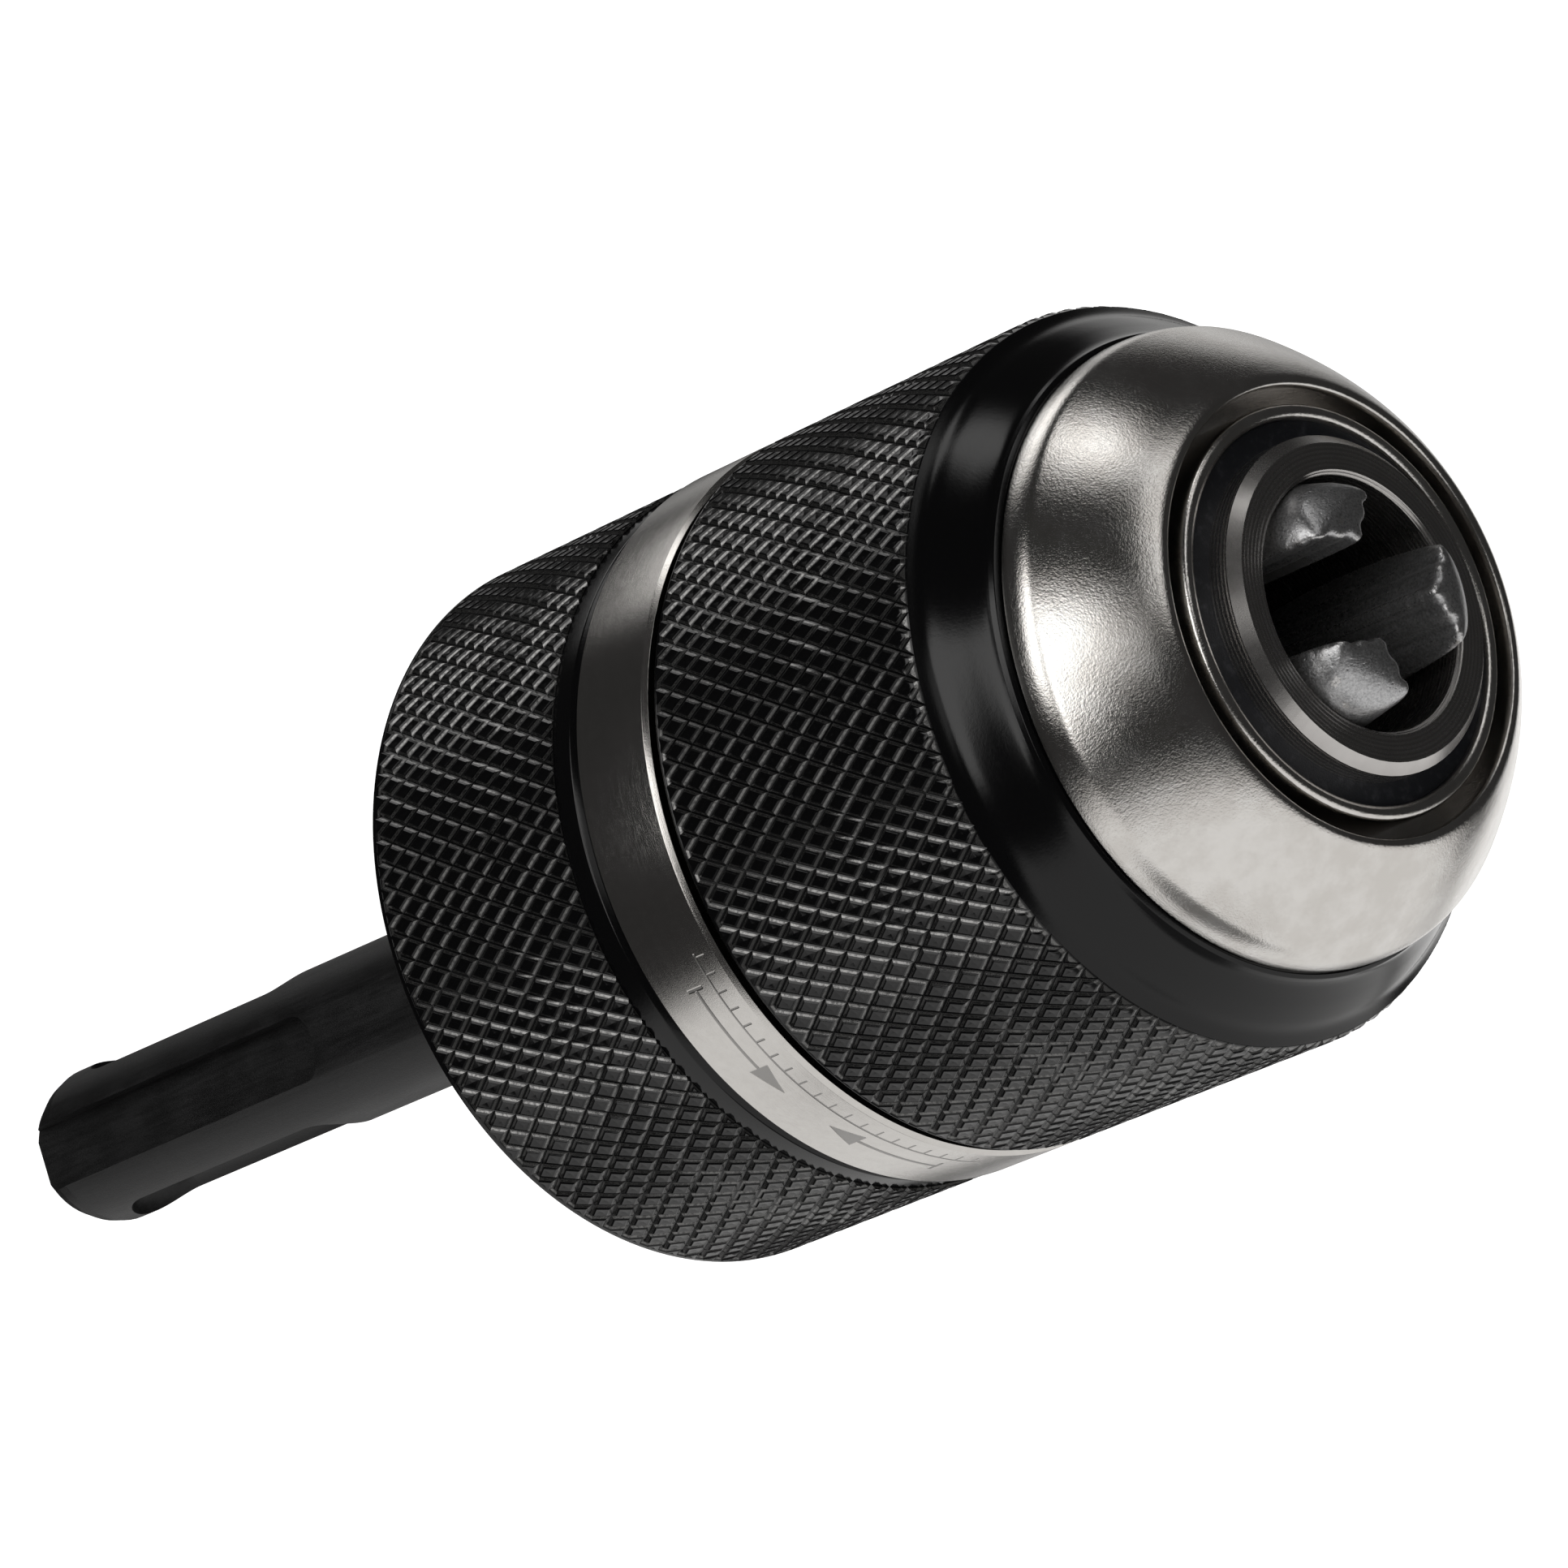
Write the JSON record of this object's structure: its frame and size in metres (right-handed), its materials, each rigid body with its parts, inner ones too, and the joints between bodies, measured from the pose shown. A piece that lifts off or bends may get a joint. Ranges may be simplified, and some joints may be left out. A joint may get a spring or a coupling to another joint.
{
  "type": "drill chuck",
  "caption": "Keyless three-jaw drill chuck with two knurled sleeves, a bright indicator band, a domed nose cap and a quick-change hammer shank.",
  "frame": {"origin": "on the spindle axis, where the shank leaves the rear of the sleeves", "axes": "+Z along the spindle axis towards the nose, +X through jaw 1; jaws 2 and 3 follow at 120 and 240 degrees"},
  "size_m": [0.044, 0.044, 0.1191],
  "materials": {
    "shank_black": "satin black oxide",
    "sleeve_black": "gloss black over knurl",
    "band_steel": "circular brushed",
    "cap_nickel": "satin nickel",
    "nose_steel": "fine turned",
    "jaw_steel": "tumbled",
    "screw_steel": "zinc passivated",
    "nut_steel": "phosphated",
    "race_steel": "ground",
    "spring_steel": "tempered blue grey",
    "cage_brass": "satin",
    "liner_alloy": "as cast",
    "seal_rubber": "matt",
    "cover_plastic": "fine matt"
  },
  "bodies": {
    "chuck_fixed": {"hammer_shank": "shank_black", "retaining_screw": "screw_steel", "chuck_body": "nose_steel", "race_rear": "race_steel", "retaining_ring": "cap_nickel", "dust_seal": "seal_rubber", "indicator_band": "band_steel", "rear_sleeve": "sleeve_black", "rear_hub": "liner_alloy", "rear_clip": "spring_steel", "rear_cover": "cover_plastic"},
    "closing_sleeve": {"front_sleeve": "sleeve_black", "front_liner": "liner_alloy", "nose_cap": "cap_nickel", "nut_collar": "race_steel", "nut_half_a": "nut_steel", "nut_half_b": "nut_steel", "race_front": "race_steel", "preload_spring": "spring_steel"},
    "bearing": {"ball_cage": "cage_brass", "bearing_balls": "race_steel"},
    "jaw_a": {"jaw_1": "jaw_steel"},
    "jaw_b": {"jaw_2": "jaw_steel"},
    "jaw_c": {"jaw_3": "jaw_steel"}
  },
  "joints": [
    {"name": "sleeve_turn", "type": "hinge", "parent": "chuck_fixed", "child": "closing_sleeve", "pos_m": [0, 0, 0.0422], "axis": [0, 0, 1], "range_deg": [-1800, 2400]},
    {"name": "bearing_roll", "type": "hinge", "parent": "chuck_fixed", "child": "bearing", "pos_m": [0, 0, 0.0288], "axis": [0, 0, 1], "range_deg": [-901, 1201]},
    {"name": "jaw_a_slide", "type": "slide", "parent": "chuck_fixed", "child": "jaw_a", "axis": [-0.273, 0, 0.962], "range_m": [-0.01205, 0.00905]},
    {"name": "jaw_b_slide", "type": "slide", "parent": "chuck_fixed", "child": "jaw_b", "axis": [0.1365, -0.2364, 0.962], "range_m": [-0.01205, 0.00905]},
    {"name": "jaw_c_slide", "type": "slide", "parent": "chuck_fixed", "child": "jaw_c", "axis": [0.1365, 0.2364, 0.962], "range_m": [-0.01205, 0.00905]}
  ],
  "couplings": [
    {"joint": "bearing_roll", "follows": "sleeve_turn", "ratio": 0.5},
    {"joint": "jaw_a_slide", "follows": "sleeve_turn", "m_per_rad": -0.00028648},
    {"joint": "jaw_b_slide", "follows": "sleeve_turn", "m_per_rad": -0.00028648},
    {"joint": "jaw_c_slide", "follows": "sleeve_turn", "m_per_rad": -0.00028648}
  ]
}
